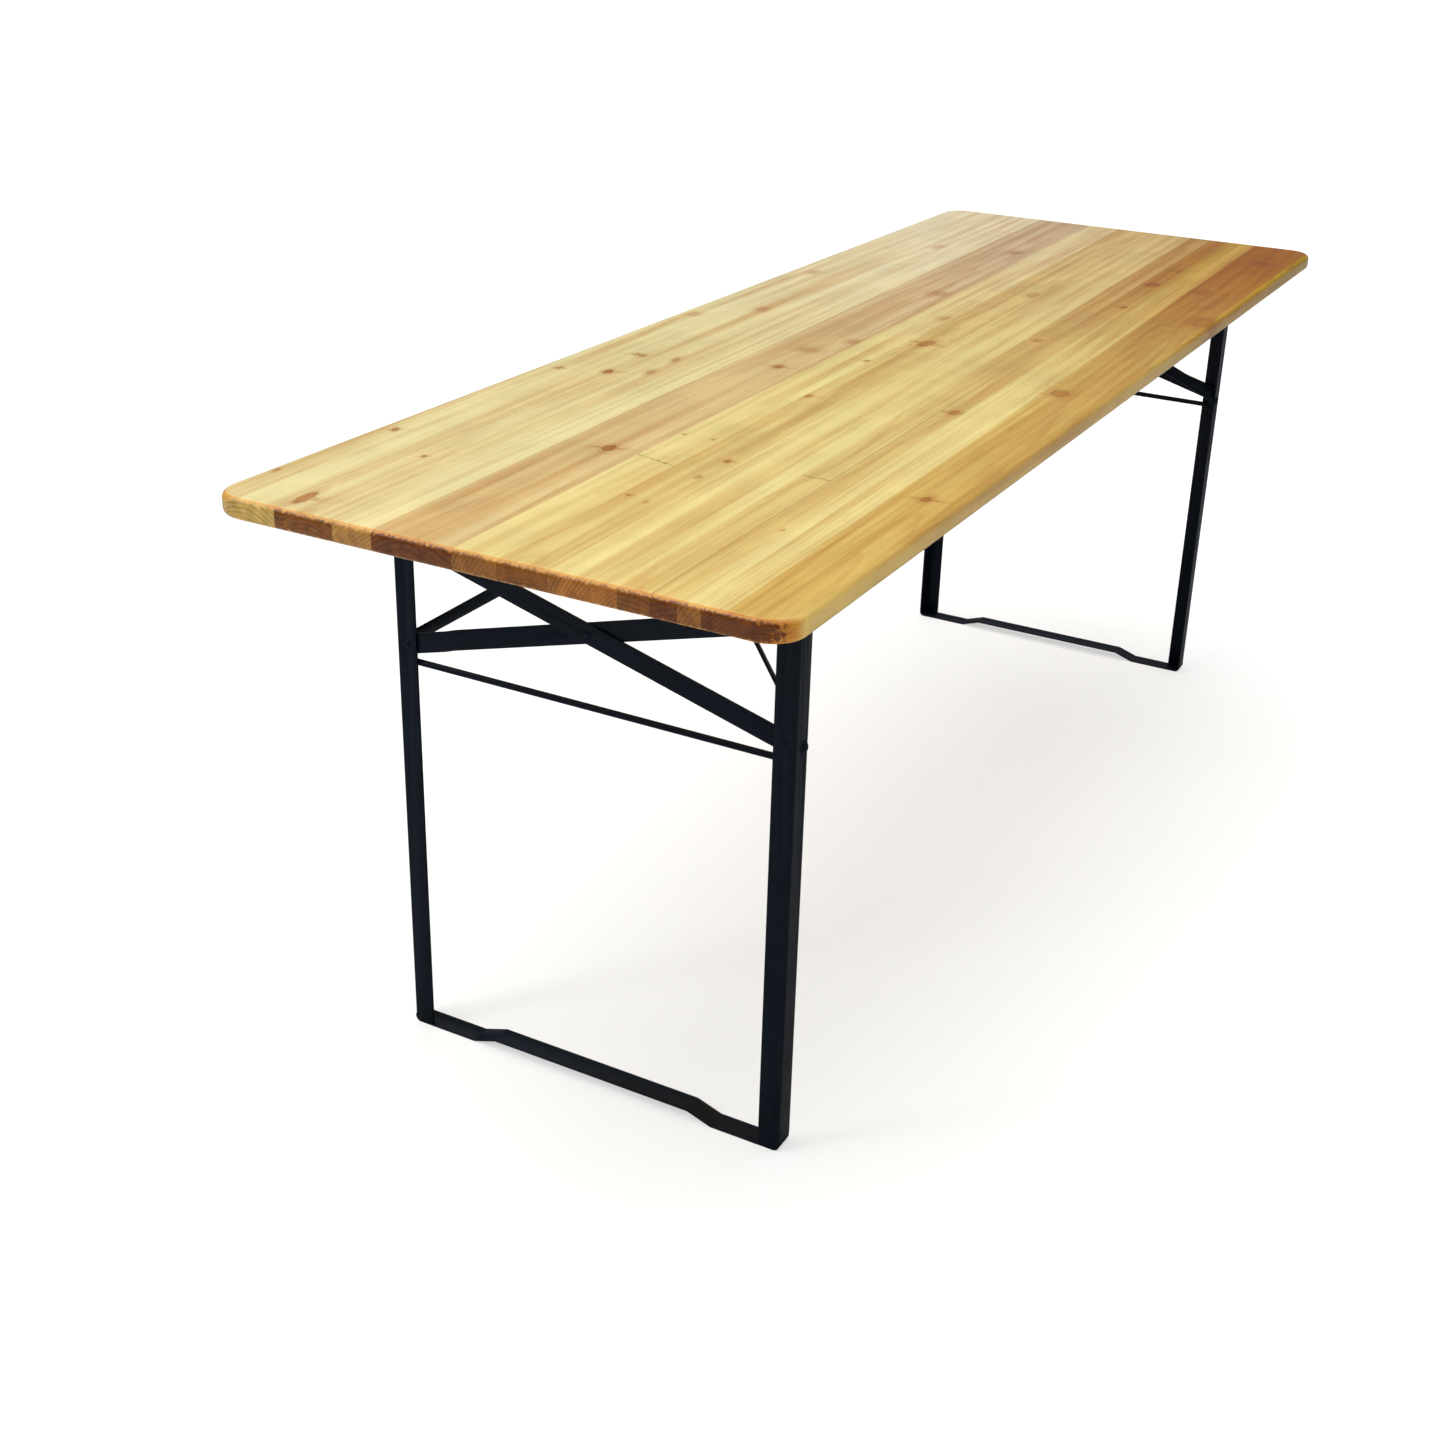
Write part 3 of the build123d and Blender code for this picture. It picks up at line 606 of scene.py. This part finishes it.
def bareMetal(name, look):
    material, tree = newMaterial(name)
    point = addNode(tree, "TexCoord").outputs["Object"]
    cloud = addNode(tree, "TexNoise", {
        "Vector": point, "Scale": look["scale"], "Detail": 4.0}).outputs["Fac"]
    tint = addNode(tree, "MapRange", {
        "Value": cloud, "From Min": 0.3, "From Max": 0.7, "To Min": 0.75, "To Max": 1.2})
    colour = addNode(tree, "VectorMath", {
        0: linearColour(look["colour"])[:3], "Scale": tint.outputs[0]}, operation="SCALE")
    rough = addNode(tree, "MapRange", {
        "Value": cloud, "From Min": 0.3, "From Max": 0.7,
        "To Min": look["roughness"] - 0.08, "To Max": look["roughness"] + 0.1})
    bump = addNode(tree, "Bump", {"Height": cloud, "Strength": 0.1, "Distance": 0.0002})
    surface = addNode(tree, "BsdfPrincipled", {
        "Base Color": colour.outputs[0], "Metallic": 1.0, "Roughness": rough.outputs[0],
            "Normal": bump.outputs[0]})
    addNode(tree, "OutputMaterial", {"Surface": surface.outputs[0]})
    return material


steel = coatedSteel("powderCoatedSteel", steelLook)


# Bars and angles leave the coating booth with softened corners, so each gets a copy with rounded edges.
softBars = {"width": 0.0007, "segments": 2, "names": [
    "left_leg", "right_leg", "foot_bar", "brace_flat", "brace_stepped", "left_strut_arm", "right_strut_arm",
    "left_hinge_bracket", "right_hinge_bracket", "lock_plate"]}


def softenBar(nodeName, look):
    source = nodes[nodeName]
    shape = bmesh.new()
    shape.from_mesh(source.data)
    bmesh.ops.remove_doubles(shape, verts=shape.verts, dist=0.00002)
    bmesh.ops.dissolve_limit(shape, angle_limit=math.radians(1.0), verts=shape.verts, edges=shape.edges)
    for face in shape.faces:
        face.smooth = True
    mesh = bpy.data.meshes.new(nodeName + ".coated")
    shape.to_mesh(mesh)
    shape.free()
    mesh.materials.append(steel)
    piece = bpy.data.objects.new(nodeName + ".coated", mesh)
    bpy.context.collection.objects.link(piece)
    rounding = piece.modifiers.new("roundedCorners", "BEVEL")
    rounding.width = look["width"]
    rounding.segments = look["segments"]
    rounding.limit_method = "ANGLE"
    rounding.angle_limit = math.radians(40)
    rounding.harden_normals = True
    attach(piece, body_of(source)[0])
    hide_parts(nodeName)


for end in ("near", "far"):
    for barName in softBars["names"]:
        softenBar(end + "_" + barName, softBars)
print("bars softened")

# Zinc-plated wood screws: pale grey metal with a soft shine, its plating uneven over 1 mm.
zinc = bareMetal("zincPlatedSteel", {"colour": "#b9bcbc", "roughness": 0.32, "scale": 900.0})
# Blued spring steel: dark grey-blue, rolled smooth, with an oily shine that drifts over 4 mm.
spring = bareMetal("bluedSpringSteel", {"colour": "#59616b", "roughness": 0.3, "scale": 260.0})

for nodeName, node in nodes.items():
    if nodeName in staves or nodeName.endswith("_batten"):
        continue
    if nodeName.endswith("spring_catch"):
        finish = spring
    elif nodeName.endswith("screws") or nodeName.endswith("catch_screw"):
        finish = zinc
    else:
        finish = steel
    node.data.materials.clear()
    node.data.materials.append(finish)
print("steel finished")
